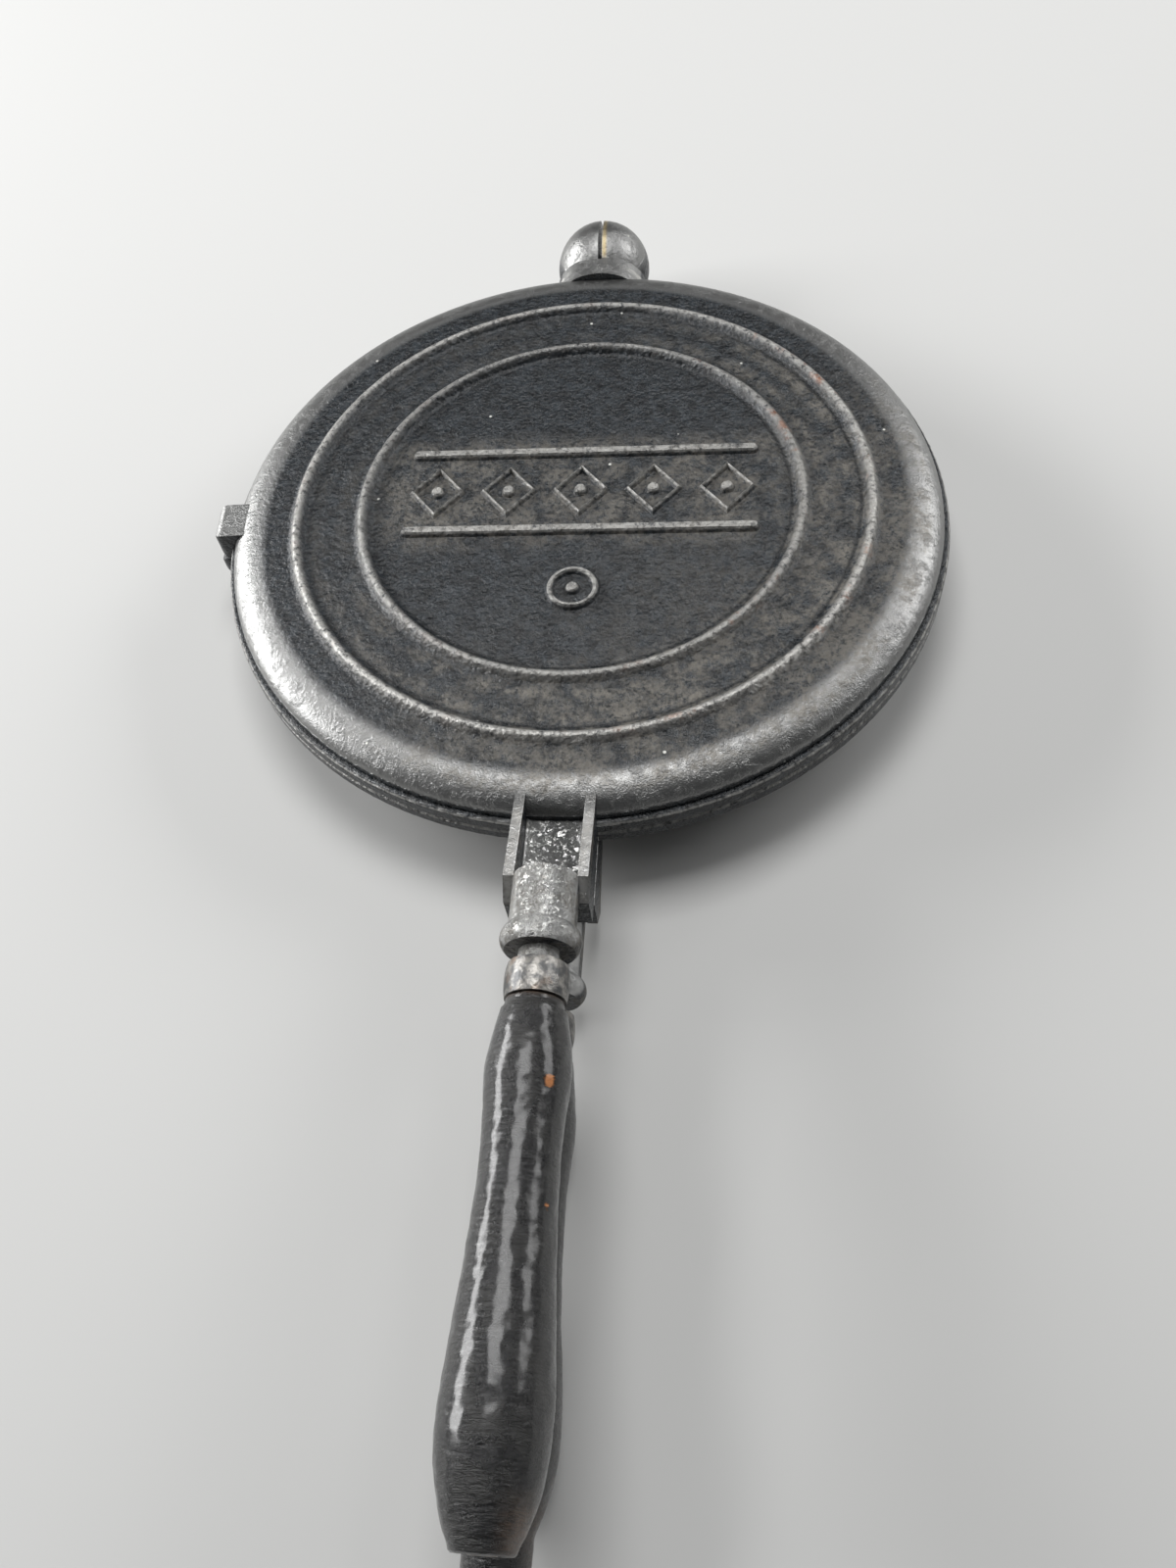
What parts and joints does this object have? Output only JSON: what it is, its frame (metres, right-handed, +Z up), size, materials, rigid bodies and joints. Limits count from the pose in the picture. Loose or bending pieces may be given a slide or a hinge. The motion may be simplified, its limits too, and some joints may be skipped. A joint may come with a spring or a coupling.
{
  "type": "stovetop waffle iron",
  "caption": "Round cast-iron stovetop waffle iron: two ringed paddles that open on a split ball hinge, with turned ebonised wood handles held by ferrules and tie rods.",
  "frame": {"origin": "centre of the flat disc on the lower paddle's underside, which lies down on the hob or in a base ring", "axes": "+X right, +Y from the handles towards the ball hinge, +Z up out of the closed iron"},
  "size_m": [0.1986, 0.373, 0.0499],
  "materials": {
    "cast_iron": "seasoned, oiled, finely granular, worn bright on raised edges",
    "ferrule_iron": "polished by handling, brown in the grooves",
    "ebonised_wood": "glossy black paint, crackled across the grain, chipped to bare wood",
    "rod_steel": "plain steel, lightly rusted"
  },
  "bodies": {
    "lower_iron": {"lower_paddle": "cast_iron", "lower_ferrule": "ferrule_iron", "lower_handle": "ebonised_wood", "lower_tie_rod": "rod_steel", "lower_end_washer": "rod_steel", "lower_end_nut": "rod_steel"},
    "upper_iron": {"upper_paddle": "cast_iron", "upper_ferrule": "ferrule_iron", "upper_handle": "ebonised_wood", "upper_tie_rod": "rod_steel", "upper_end_washer": "rod_steel", "upper_end_nut": "rod_steel"}
  },
  "joints": [
    {"name": "ball_hinge", "type": "hinge", "parent": "lower_iron", "child": "upper_iron", "pos_m": [0, 0.1085, 0.01], "axis": [-1, 0, 0], "range_deg": [0, 95]}
  ]
}
